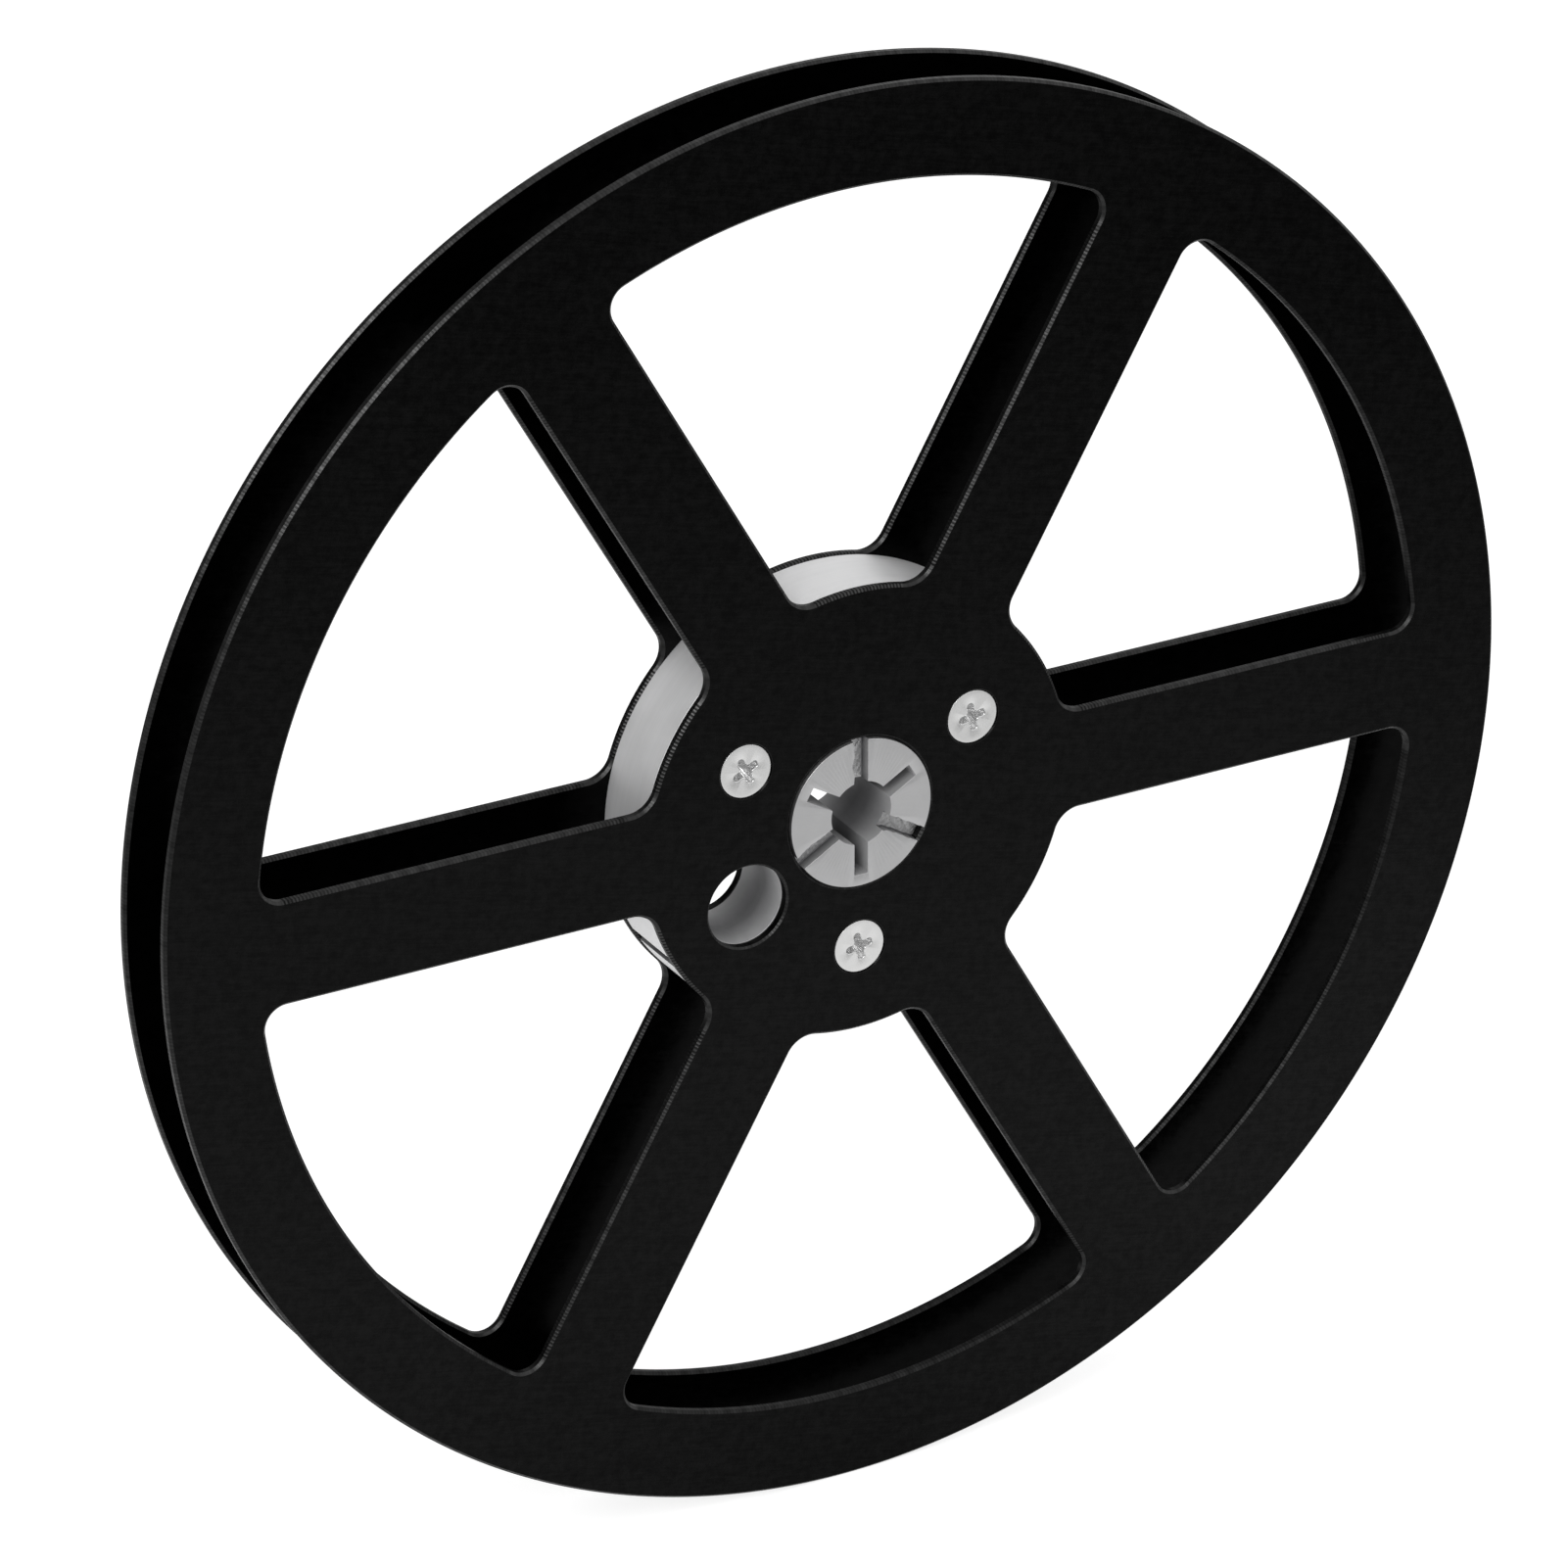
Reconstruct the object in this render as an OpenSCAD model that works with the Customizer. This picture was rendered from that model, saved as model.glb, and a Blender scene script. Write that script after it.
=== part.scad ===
// Metal tape reel for quarter-inch tape, seven-inch size.
// Two identical six-spoke flange plates are clamped on a machined hub by
// countersunk screws. The hub's raised end bosses pass through the flanges
// and carry the spindle bore with its three drive slots.
//
// The reel spins about Y. The origin is the centre of the spindle bore, half
// way between the two flanges; the front faces -Y and +Z is up. Angles are
// counted from +X towards +Z, as seen from the front. Millimetres.

/* [Reel] */
// Outer diameter of the flanges
reel_d = 178; // [150:0.5:190]
// Width over the two flange faces
reel_w = 11.9; // [10:0.1:16]

/* [Flanges] */
// Thickness of each flange plate
flange_t = 1.3; // [1:0.1:2]
// Bevel along every free edge of a flange
edge_bevel = 0.32; // [0.1:0.01:0.4]
// Width of the rim ring outside the windows
rim_w = 11.55; // [8:0.05:16]
// Width of each spoke
spoke_w = 12.9; // [8:0.1:16]
// Diameter of the centre disc between the windows
disc_d = 56.6; // [56:0.1:62]
// Fillet radius in the outer corners of a window
corner_outer_r = 2.8; // [1.5:0.1:5]
// Fillet radius in the inner corners of a window
corner_inner_r = 3.4; // [1.5:0.1:5]
// Radial play between a flange and the hub boss it is centred on
boss_play = 0.06; // [0.03:0.01:0.2]

/* [Hub] */
// Diameter of the tape winding surface
hub_d = 56.2; // [52:0.1:60]
// Diameter of the raised bosses that centre the flanges
boss_d = 18.7; // [17:0.1:22]
// How far a boss stands proud of the flange face
boss_proud = 0.3; // [0.1:0.05:0.6]
// Bevel around the boss face
boss_bevel = 0.15; // [0.05:0.05:0.25]
// Diameter of the spindle bore
bore_d = 8; // [7.9:0.05:8.4]
// Bevel at the mouths of the spindle bore
bore_bevel = 0.15; // [0.05:0.05:0.3]

/* [Drive slots] */
// Width of the three drive slots
slot_w = 1.8; // [1.4:0.1:2.2]
// Radius of the outer end of a drive slot
slot_end_r = 7.9; // [7:0.1:8.4]
// Width of the shallow relief grooves opposite the drive slots
groove_w = 1.75; // [1:0.05:2.2]
// Depth of the relief grooves below the boss face
groove_depth = 1.5; // [0.5:0.1:1.5]

/* [Tape threading] */
// Diameter of the threading hole through hub and flanges
thread_hole_d = 10.3; // [8:0.1:11]
// Distance from the reel axis to the threading hole
thread_hole_r = 17.3; // [16:0.1:18]
// Bevel around the threading hole on the flanges
thread_hole_bevel = 0.24; // [0.1:0.02:0.3]
// Width of the tape slot between winding surface and threading hole
tape_slot_w = 0.6; // [0.4:0.1:1]
// Length of the lead-in ramp in front of the tape slot
ramp_len = 1.8; // [0.5:0.1:3]
// Depth of the lead-in ramp where it meets the tape slot
ramp_depth = 0.4; // [0.1:0.05:0.6]

/* [Screws] */
// Pitch circle diameter of the three screws on each side
screw_pcd = 35; // [33:0.5:38]
// Diameter of a screw head
head_d = 6.6; // [6:0.02:7]
// Depth of a head below the flange face
head_sink = 0.1; // [0.05:0.05:0.2]
// Height of the straight rim of a head
head_rim = 0.07; // [0.05:0.01:0.15]
// Thread outer diameter
screw_d = 3.5; // [3:0.1:3.5]
// Length of a screw over its head
screw_len = 5; // [4:0.5:5.5]
// Radial play around head and thread
screw_play = 0.03; // [0.02:0.01:0.05]
// Span of the cross recess
recess_span = 3.5; // [2.5:0.1:4]
// Width of a recess arm
recess_w = 0.8; // [0.5:0.05:1]

/* [Hidden] */

$fn = 96;

reel_r = reel_d / 2;
window_r = reel_r - rim_w;             // outer radius of the windows
disc_r = disc_d / 2;
hub_r = hub_d / 2;
boss_r = boss_d / 2;
spoke_h = spoke_w / 2;
hub_w = reel_w - 2 * flange_t;         // length of the winding surface
half_w = reel_w / 2;
boss_top = half_w + boss_proud;        // height of a boss face over mid-plane
bore_r = bore_d / 2;
screw_angles = [30, 150, 270];
slot_angles = [30, 150, 270];
thread_angle = 210;
tape_slot_angle = 212.4;
recess_turn = [11, 28, 13];            // turn of the cross recess in each head
eps = 0.01;

// Local frame: reel axis along Z, front face up. reel() lays it along Y with
// the front towards -Y.
module reel() { rotate([90, 0, 0]) children(); }

// ---- window geometry, for a window centred on the local X axis ----
// Centre of the fillet circle in a corner: radius rf, on a circle of radius
// rc, beside the spoke that lies at +30 degrees.
function on_spoke(s, n) = [s * cos(30) + n * sin(30), s * sin(30) - n * cos(30)];
s_outer = sqrt(pow(window_r - corner_outer_r, 2) - pow(spoke_h + corner_outer_r, 2));
s_inner = sqrt(pow(disc_r + corner_inner_r, 2) - pow(spoke_h + corner_inner_r, 2));
c_outer = on_spoke(s_outer, spoke_h + corner_outer_r);
c_inner = on_spoke(s_inner, spoke_h + corner_inner_r);
a_outer = atan2(c_outer[1], c_outer[0]);   // half angle of the outer arc
a_inner = atan2(c_inner[1], c_inner[0]);   // half angle of the inner arc
r_mid = (window_r + disc_r) / 2;

// A sector ring whose inner and outer walls flare by g over height h.
module flared_sector(r0, r1, ha, z, h, g0, g1) {
    rotate([0, 0, -ha]) rotate_extrude(angle = 2 * ha, $fn = 180)
        polygon([[r0, z], [r1, z], [r1 + g1, z + h], [r0 - g0, z + h]]);
}

// A strip along the spoke edge between the two fillets; its edge wall flares
// by g over height h.
module flared_strip(z, h, g) {
    rotate([0, 0, 30]) translate([s_inner, 0, 0])
        rotate([90, 0, 90]) linear_extrude(s_outer - s_inner)
            polygon([[-spoke_h, z], [-spoke_h + g, z + h],
                     [-spoke_h - 3, z + h], [-spoke_h - 3, z]]);
}

// The window as a solid from z to z + h, growing by g all round on the way.
module window(z, h, g) {
    flared_sector(disc_r, r_mid, a_inner, z, h, g, 0);
    flared_sector(r_mid - 1, window_r, a_outer, z, h, 0, g);
    for (m = [0, 1]) mirror([0, m, 0]) {
        flared_strip(z, h, g);
        translate([c_outer[0], c_outer[1], z])
            cylinder(r1 = corner_outer_r, r2 = corner_outer_r + g, h = h);
        translate([c_inner[0], c_inner[1], z])
            cylinder(r1 = corner_inner_r, r2 = corner_inner_r + g, h = h);
    }
    // core between the four fillet centres
    translate([0, 0, z]) linear_extrude(h)
        polygon([c_inner, c_outer, [c_outer[0], -c_outer[1]], [c_inner[0], -c_inner[1]]]);
    translate([0, 0, z]) linear_extrude(h)
        polygon([on_spoke(s_inner, spoke_h + 2.9), on_spoke(s_outer, spoke_h + 2.9),
                 c_outer, c_inner]);
    translate([0, 0, z]) mirror([0, 1, 0]) linear_extrude(h)
        polygon([on_spoke(s_inner, spoke_h + 2.9), on_spoke(s_outer, spoke_h + 2.9),
                 c_outer, c_inner]);
}

// One flange plate, lying on z = 0 with its outer face up.
module flange_plate() {
    b = edge_bevel;
    hb = thread_hole_bevel;
    hr = thread_hole_d / 2;
    br = boss_r + boss_play;
    csk = head_d / 2 + head_sink + head_rim + screw_play;   // countersink radius at the face
    difference() {
        // disc with bevelled rim
        rotate_extrude($fn = 360)
            polygon([[0, 0], [reel_r - b, 0], [reel_r, b], [reel_r, flange_t - b],
                     [reel_r - b, flange_t], [0, flange_t]]);
        // six windows, bevelled on both faces
        for (a = [30:60:330]) rotate([0, 0, a]) {
            window(-1, flange_t + 2, 0);
            window(flange_t - b, b + eps, b + eps);
            mirror([0, 0, 1]) window(-b, b + eps, b + eps);
        }
        // opening for the hub boss, bevelled on the outer face
        translate([0, 0, -1]) cylinder(r = br, h = flange_t + 2);
        translate([0, 0, flange_t - b]) cylinder(r1 = br, r2 = br + b + eps, h = b + eps);
        // threading hole, bevelled on both faces
        rotate([0, 0, thread_angle]) translate([thread_hole_r, 0, 0]) {
            translate([0, 0, -1]) cylinder(r = hr, h = flange_t + 2);
            translate([0, 0, flange_t - hb]) cylinder(r1 = hr, r2 = hr + hb + eps, h = hb + eps);
            translate([0, 0, -eps]) cylinder(r1 = hr + hb + eps, r2 = hr, h = hb + eps);
        }
        // countersunk screw holes
        for (a = screw_angles) rotate([0, 0, a]) translate([screw_pcd / 2, 0, -1]) {
            cylinder(r = csk - flange_t - eps, h = flange_t + 2);
            translate([0, 0, 1 - eps])
                cylinder(r1 = csk - flange_t - eps, r2 = csk + eps, h = flange_t + 2 * eps);
        }
    }
}

module front_flange() color([0.08, 0.08, 0.08]) reel()
    translate([0, 0, half_w - flange_t]) flange_plate();

module rear_flange() color([0.08, 0.08, 0.08]) reel()
    mirror([0, 0, 1]) translate([0, 0, half_w - flange_t]) flange_plate();

// Everything cut into one end of the hub, drawn for the end at +Z.
module hub_end_cuts() {
    csk_hub = head_d / 2 + head_sink + head_rim + screw_play - flange_t;  // cone radius at the hub face
    tap_r = screw_d / 2 + screw_play;
    // relief grooves opposite the drive slots
    for (a = slot_angles) rotate([0, 0, a + 180])
        translate([0, -groove_w / 2, boss_top - groove_depth])
            cube([boss_r + 1, groove_w, groove_depth + 1]);
    // bevel at the bore mouth
    translate([0, 0, boss_top - bore_bevel])
        cylinder(r1 = bore_r, r2 = bore_r + bore_bevel + eps, h = bore_bevel + eps);
    // screw holes with the lower part of the countersink
    for (a = screw_angles) rotate([0, 0, a]) translate([screw_pcd / 2, 0, 0]) {
        translate([0, 0, hub_w / 2 - (screw_len - flange_t) - 0.5])
            cylinder(r = tap_r, h = screw_len + 1);
        translate([0, 0, hub_w / 2 - (csk_hub - tap_r)])
            cylinder(r1 = tap_r, r2 = csk_hub + eps, h = csk_hub - tap_r + eps);
    }
}

module hub() color([0.72, 0.72, 0.73]) reel() difference() {
    // winding drum with a raised boss at each end
    rotate_extrude($fn = 360) polygon([
        [0, -boss_top], [boss_r - boss_bevel, -boss_top], [boss_r, -boss_top + boss_bevel],
        [boss_r, -hub_w / 2], [hub_r, -hub_w / 2], [hub_r, hub_w / 2], [boss_r, hub_w / 2],
        [boss_r, boss_top - boss_bevel], [boss_r - boss_bevel, boss_top], [0, boss_top]]);
    // spindle bore and its three drive slots
    translate([0, 0, -boss_top - 1]) cylinder(r = bore_r, h = 2 * boss_top + 2);
    for (a = slot_angles) rotate([0, 0, a])
        translate([0, -slot_w / 2, -boss_top - 1]) cube([slot_end_r, slot_w, 2 * boss_top + 2]);
    // threading hole
    rotate([0, 0, thread_angle]) translate([thread_hole_r, 0, -boss_top])
        cylinder(r = thread_hole_d / 2, h = 2 * boss_top);
    // tape slot from the winding surface to the threading hole, with its ramp
    rotate([0, 0, tape_slot_angle]) {
        translate([thread_hole_r, -tape_slot_w / 2, -hub_w])
            cube([hub_r, tape_slot_w, 2 * hub_w]);
        translate([0, 0, -hub_w]) linear_extrude(2 * hub_w)
            polygon([[hub_r + 1, 0], [hub_r - ramp_depth, 0],
                     [hub_r - ramp_depth, -tape_slot_w / 2],
                     [hub_r, -tape_slot_w / 2 - ramp_len],
                     [hub_r + 1, -tape_slot_w / 2 - 2 * ramp_len]]);
    }
    hub_end_cuts();
    mirror([0, 0, 1]) hub_end_cuts();
}

// A countersunk screw standing under z = 0, the level of the flange face.
module screw(turn) {
    hr = head_d / 2;
    sr = screw_d / 2;
    z0 = -head_sink;
    z1 = z0 - head_rim;
    translate([0, 0, 0]) difference() {
        rotate_extrude() polygon([
            [0, z0], [hr - 0.05, z0], [hr, z0 - 0.05], [hr, z1], [sr, z1 - (hr - sr)],
            [sr, -screw_len + 0.3], [sr - 0.3, -screw_len], [0, -screw_len]]);
        // cross recess: two tapering arms and a centre pocket
        rotate([0, 0, turn]) for (a = [0, 90]) rotate([0, 0, a])
            rotate([90, 0, 0]) translate([0, 0, -recess_w / 2]) linear_extrude(recess_w)
                polygon([[-recess_span / 2, z0 + 1], [-recess_span / 2, z0],
                         [-recess_span / 2 + 0.75, z0 - 1.3], [0, z0 - 1.9],
                         [recess_span / 2 - 0.75, z0 - 1.3],
                         [recess_span / 2, z0], [recess_span / 2, z0 + 1]]);
        translate([0, 0, z0 - 1.6])
            cylinder(r1 = 0.55, r2 = 0.85, h = 1.6 + eps, $fn = 48);
    }
}

// The three screws of one side, heads towards +Z.
module screw_set() {
    for (i = [0:2]) rotate([0, 0, screw_angles[i]])
        translate([screw_pcd / 2, 0, half_w]) rotate([0, 0, -screw_angles[i]])
            screw(recess_turn[i]);
}

module front_screws() color([0.85, 0.85, 0.86]) reel() screw_set();

module rear_screws() color([0.85, 0.85, 0.86]) reel() mirror([0, 0, 1]) screw_set();

front_flange();
rear_flange();
hub();
front_screws();
rear_screws();
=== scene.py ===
import math
import bmesh
import bpy
import numpy as np
from mathutils import Matrix, Vector
from mathutils.geometry import delaunay_2d_cdt


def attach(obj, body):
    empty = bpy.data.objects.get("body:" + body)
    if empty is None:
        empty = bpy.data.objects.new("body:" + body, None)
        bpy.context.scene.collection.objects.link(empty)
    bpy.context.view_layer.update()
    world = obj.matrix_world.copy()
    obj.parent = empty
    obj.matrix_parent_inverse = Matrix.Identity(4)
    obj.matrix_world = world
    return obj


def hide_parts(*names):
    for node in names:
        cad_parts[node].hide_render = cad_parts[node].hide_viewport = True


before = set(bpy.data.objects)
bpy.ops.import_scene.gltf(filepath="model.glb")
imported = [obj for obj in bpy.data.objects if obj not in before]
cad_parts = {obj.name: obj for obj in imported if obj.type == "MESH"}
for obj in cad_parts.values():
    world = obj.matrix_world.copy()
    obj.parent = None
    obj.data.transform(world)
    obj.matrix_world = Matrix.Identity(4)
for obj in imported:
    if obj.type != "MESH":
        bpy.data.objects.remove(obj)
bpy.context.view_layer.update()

# The reel is drawn in its own frame in millimetres: axis along z, front face
# up, x to the right and y up as seen from the front. The row frame is
# (x, -z, y) in metres.
MM = 0.001
PI = math.pi

REEL_R = 89.0
HALF_W = 5.95           # flange face
FLANGE_T = 1.3
BEVEL = 0.32
WINDOW_R = 77.45
DISC_R = 28.3
SPOKE_H = 6.45
FILLET_OUT = 2.8
FILLET_IN = 3.4
BOSS_OPENING_R = 9.41
HUB_R = 28.1
HUB_H = 4.65            # half the winding width
BOSS_R = 9.35
BOSS_TOP = 6.25
BORE_R = 4.0
SLOT_W = 1.8
SLOT_END = 7.9
GROOVE_W = 1.75
GROOVE_DEPTH = 1.5
THREAD_R = 5.15
THREAD_AT = 17.3
THREAD_ANGLE = 210.0
THREAD_BEVEL = 0.24
TAPE_SLOT_ANGLE = 212.4
TAPE_SLOT_W = 0.6
RAMP_LEN = 1.8
RAMP_DEPTH = 0.4
SCREW_AT = 17.5
SCREW_ANGLES = (30.0, 150.0, 270.0)
RECESS_TURN = (11.0, 28.0, 13.0)
CSK_R = 3.50
HEAD_R = 3.30
HEAD_SINK = 0.10
HEAD_RIM = 0.07
SHANK_R = 1.75
TAP_R = 1.78


def to_row(p):
    p = np.asarray(p, float)
    return np.stack([p[:, 0], -p[:, 2], p[:, 1]], 1) * MM


def n_row(n):
    n = np.asarray(n, float)
    return np.stack([n[:, 0], -n[:, 2], n[:, 1]], 1)


# ------------------------------------------------------------------ materials

def new_material(name):
    m = bpy.data.materials.new(name)
    m.use_nodes = True
    nt = m.node_tree
    nt.nodes.clear()
    out = nt.nodes.new("ShaderNodeOutputMaterial")
    bsdf = nt.nodes.new("ShaderNodeBsdfPrincipled")
    nt.links.new(bsdf.outputs["BSDF"], out.inputs["Surface"])
    return m, nt, bsdf


def node(nt, kind, **values):
    n = nt.nodes.new(kind)
    for k, v in values.items():
        if hasattr(n, k):
            setattr(n, k, v)
        else:
            n.inputs[k].default_value = v
    return n


def noise(nt, vector, scale, detail=2.0, rough=0.5, stretch=None, dims="3D"):
    """A noise field over vector, stretched per axis, in cycles per metre."""
    m = node(nt, "ShaderNodeMapping")
    s = stretch or (1.0, 1.0, 1.0)
    m.inputs["Scale"].default_value = (scale * s[0], scale * s[1], scale * s[2])
    nt.links.new(vector, m.inputs["Vector"])
    t = node(nt, "ShaderNodeTexNoise", noise_dimensions=dims)
    t.inputs["Scale"].default_value = 1.0
    t.inputs["Detail"].default_value = detail
    t.inputs["Roughness"].default_value = rough
    nt.links.new(m.outputs["Vector"], t.inputs["Vector"])
    return t.outputs["Fac"]


def ramp(nt, fac, stops):
    """A colour ramp; each stop is (position, grey or rgb)."""
    r = node(nt, "ShaderNodeValToRGB")
    e = r.color_ramp.elements
    while len(e) < len(stops):
        e.new(0.5)
    for i, (p, c) in enumerate(stops):
        c = (c, c, c) if isinstance(c, (int, float)) else c
        e[i].position = p
        e[i].color = (c[0], c[1], c[2], 1.0)
    nt.links.new(fac, r.inputs["Fac"])
    return r.outputs["Color"]


def remap(nt, value, a, b, lo=0.0, hi=1.0):
    m = node(nt, "ShaderNodeMapRange")
    m.inputs["From Min"].default_value = lo
    m.inputs["From Max"].default_value = hi
    m.inputs["To Min"].default_value = a
    m.inputs["To Max"].default_value = b
    nt.links.new(value, m.inputs["Value"])
    return m.outputs["Result"]


def math_node(nt, op, a, b=None):
    m = node(nt, "ShaderNodeMath", operation=op)
    for i, v in enumerate((a, b)):
        if v is None:
            continue
        if isinstance(v, (int, float)):
            m.inputs[i].default_value = v
        else:
            nt.links.new(v, m.inputs[i])
    return m.outputs[0]


def bump(nt, height, strength, distance, under=None):
    b = node(nt, "ShaderNodeBump")
    b.inputs["Strength"].default_value = strength
    b.inputs["Distance"].default_value = distance
    nt.links.new(height, b.inputs["Height"])
    if under is not None:
        nt.links.new(under, b.inputs["Normal"])
    return b.outputs["Normal"]


def object_coords(nt):
    return node(nt, "ShaderNodeTexCoord").outputs["Object"]


def black_face(name, shades, spec, rough):
    """Black anodised, brushed lightly from side to side before it was dyed."""
    m, nt, b = new_material(name)
    p = object_coords(nt)
    turned = node(nt, "ShaderNodeVectorRotate", rotation_type="Y_AXIS")
    turned.inputs["Angle"].default_value = math.radians(-13.0)
    nt.links.new(p, turned.inputs["Vector"])
    streak = noise(nt, turned.outputs[0], 1.0, 3.0, 0.6, (260.0, 900.0, 3600.0))
    speck = noise(nt, p, 5200.0, 2.0, 0.5)
    cloud = noise(nt, p, 28.0, 3.0, 0.55)
    mottle = noise(nt, p, 950.0, 3.0, 0.6)
    mixed = math_node(nt, "ADD", math_node(nt, "MULTIPLY", streak, 0.3),
                      math_node(nt, "ADD", math_node(nt, "MULTIPLY", speck, 0.25),
                                math_node(nt, "MULTIPLY", mottle, 0.45)))
    nt.links.new(ramp(nt, mixed, [(0.40, shades[0]), (0.5, shades[1]), (0.60, shades[2])]), b.inputs["Base Color"])
    nt.links.new(math_node(nt, "ADD", remap(nt, mixed, rough - 0.05, rough + 0.07, 0.35, 0.65),
                           remap(nt, cloud, -0.02, 0.02, 0.3, 0.7)), b.inputs["Roughness"])
    nt.links.new(math_node(nt, "MULTIPLY", remap(nt, mixed, spec * 0.81, spec * 1.19, 0.40, 0.60),
                           remap(nt, cloud, 0.95, 1.05, 0.3, 0.7)), b.inputs["Specular IOR Level"])
    nt.links.new(bump(nt, mixed, 0.16, 0.00002), b.inputs["Normal"])
    return m


def black_edge(name, spec, lo, hi):
    """The milled edges of the same plate. The cutter left fine ribs across the edge, deepest where it came out of a corner."""
    m, nt, b = new_material(name)
    uv = node(nt, "ShaderNodeUVMap", uv_map="edge_run").outputs["UV"]
    rib = node(nt, "ShaderNodeAttribute", attribute_name="rib").outputs["Fac"]
    tone = node(nt, "ShaderNodeAttribute", attribute_name="tone").outputs["Fac"]
    p = object_coords(nt)
    # uv is in metres along and across the edge
    fine = noise(nt, uv, 1.0, 2.0, 0.55, (4200.0, 160.0, 1.0), "2D")
    wave = node(nt, "ShaderNodeTexWave", wave_type="BANDS", bands_direction="X", wave_profile="SIN")
    wave.inputs["Scale"].default_value = 1.0
    wave.inputs["Distortion"].default_value = 0.35
    wave.inputs["Detail"].default_value = 2.0
    wave.inputs["Detail Scale"].default_value = 0.7
    mp = node(nt, "ShaderNodeMapping")
    mp.inputs["Scale"].default_value = (704.0, 40.0, 1.0)
    nt.links.new(uv, mp.inputs["Vector"])
    nt.links.new(mp.outputs["Vector"], wave.inputs["Vector"])
    ribs = math_node(nt, "MULTIPLY", wave.outputs["Fac"], rib)
    h = math_node(nt, "ADD", math_node(nt, "MULTIPLY", ribs, 0.8), math_node(nt, "MULTIPLY", fine, 0.5))
    speck = noise(nt, p, 4200.0, 2.0, 0.5)
    nt.links.new(ramp(nt, speck, [(0.3, lo), (0.7, hi)]), b.inputs["Base Color"])
    nt.links.new(remap(nt, fine, 0.30, 0.46, 0.3, 0.7), b.inputs["Roughness"])
    # a rib's hollow returns little light, and the cutter left some stretches brighter than others
    uneven = noise(nt, uv, 1.0, 2.0, 0.6, (900.0, 60.0, 1.0), "2D")
    shine = math_node(nt, "MULTIPLY", remap(nt, ribs, spec * 1.3, spec * 0.1), remap(nt, uneven, 0.62, 1.38, 0.3, 0.7))
    nt.links.new(math_node(nt, "MULTIPLY", shine, tone), b.inputs["Specular IOR Level"])
    nt.links.new(bump(nt, h, 0.55, 0.00005), b.inputs["Normal"])
    return m


def turned_metal(name, base, rough, lines, aniso=0.5, metal=1.0):
    """Bright aluminium off the lathe: fine lines round the axis, which is the row's Y."""
    m, nt, b = new_material(name)
    p = object_coords(nt)
    sep = node(nt, "ShaderNodeSeparateXYZ")
    nt.links.new(p, sep.inputs[0])
    r = node(nt, "ShaderNodeVectorMath", operation="LENGTH")
    flat = node(nt, "ShaderNodeCombineXYZ")
    nt.links.new(sep.outputs["X"], flat.inputs["X"])
    nt.links.new(sep.outputs["Z"], flat.inputs["Z"])
    nt.links.new(flat.outputs[0], r.inputs[0])
    rz = node(nt, "ShaderNodeCombineXYZ")
    nt.links.new(r.outputs["Value"], rz.inputs["X"])
    nt.links.new(sep.outputs["Y"], rz.inputs["Y"])
    turn = noise(nt, rz.outputs[0], 1.0, 3.0, 0.65, (lines, lines, 1.0), "2D")
    cloud = noise(nt, p, 160.0, 3.0, 0.5)
    fine = noise(nt, p, 5000.0, 2.0, 0.5)
    c = math_node(nt, "ADD", math_node(nt, "MULTIPLY", turn, 0.5), math_node(nt, "MULTIPLY", cloud, 0.5))
    lo = [x * 0.93 for x in base]
    nt.links.new(ramp(nt, c, [(0.35, lo), (0.65, base)]), b.inputs["Base Color"])
    b.inputs["Metallic"].default_value = metal
    nt.links.new(math_node(nt, "ADD", remap(nt, turn, rough - 0.05, rough + 0.05, 0.3, 0.7),
                           remap(nt, cloud, -0.03, 0.03, 0.3, 0.7)), b.inputs["Roughness"])
    b.inputs["Anisotropic"].default_value = aniso
    b.inputs["Anisotropic Rotation"].default_value = 0.25
    t = node(nt, "ShaderNodeTangent", direction_type="RADIAL", axis="Y")
    nt.links.new(t.outputs["Tangent"], b.inputs["Tangent"])
    h = math_node(nt, "ADD", math_node(nt, "MULTIPLY", turn, 0.7), math_node(nt, "MULTIPLY", fine, 0.3))
    nt.links.new(bump(nt, h, 0.18, 0.00002), b.inputs["Normal"])
    return m


def satin_metal(name, base, rough, grain=3800.0, strength=0.15, coarse=0.0):
    """Aluminium with a fine even grain."""
    m, nt, b = new_material(name)
    p = object_coords(nt)
    g = noise(nt, p, grain, 3.0, 0.6)
    cloud = noise(nt, p, 220.0, 3.0, 0.55)
    pit = noise(nt, p, 3200.0, 3.0, 0.6)
    lo = [x * (0.62 if coarse else 0.93) for x in base]
    c = math_node(nt, "ADD", math_node(nt, "MULTIPLY", pit if coarse else g, 0.35 + 0.25 * coarse),
                  math_node(nt, "MULTIPLY", cloud, 0.65 - 0.25 * coarse))
    nt.links.new(ramp(nt, c, [(0.38, lo), (0.62, base)]), b.inputs["Base Color"])
    b.inputs["Metallic"].default_value = 1.0
    nt.links.new(math_node(nt, "ADD", remap(nt, g, rough - 0.05, rough + 0.05, 0.3, 0.7),
                           remap(nt, cloud, -0.03, 0.03, 0.3, 0.7)), b.inputs["Roughness"])
    normal = bump(nt, g, strength, 0.00002)
    if coarse:
        normal = bump(nt, pit, coarse, 0.00005, normal)
    nt.links.new(normal, b.inputs["Normal"])
    return m


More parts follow.
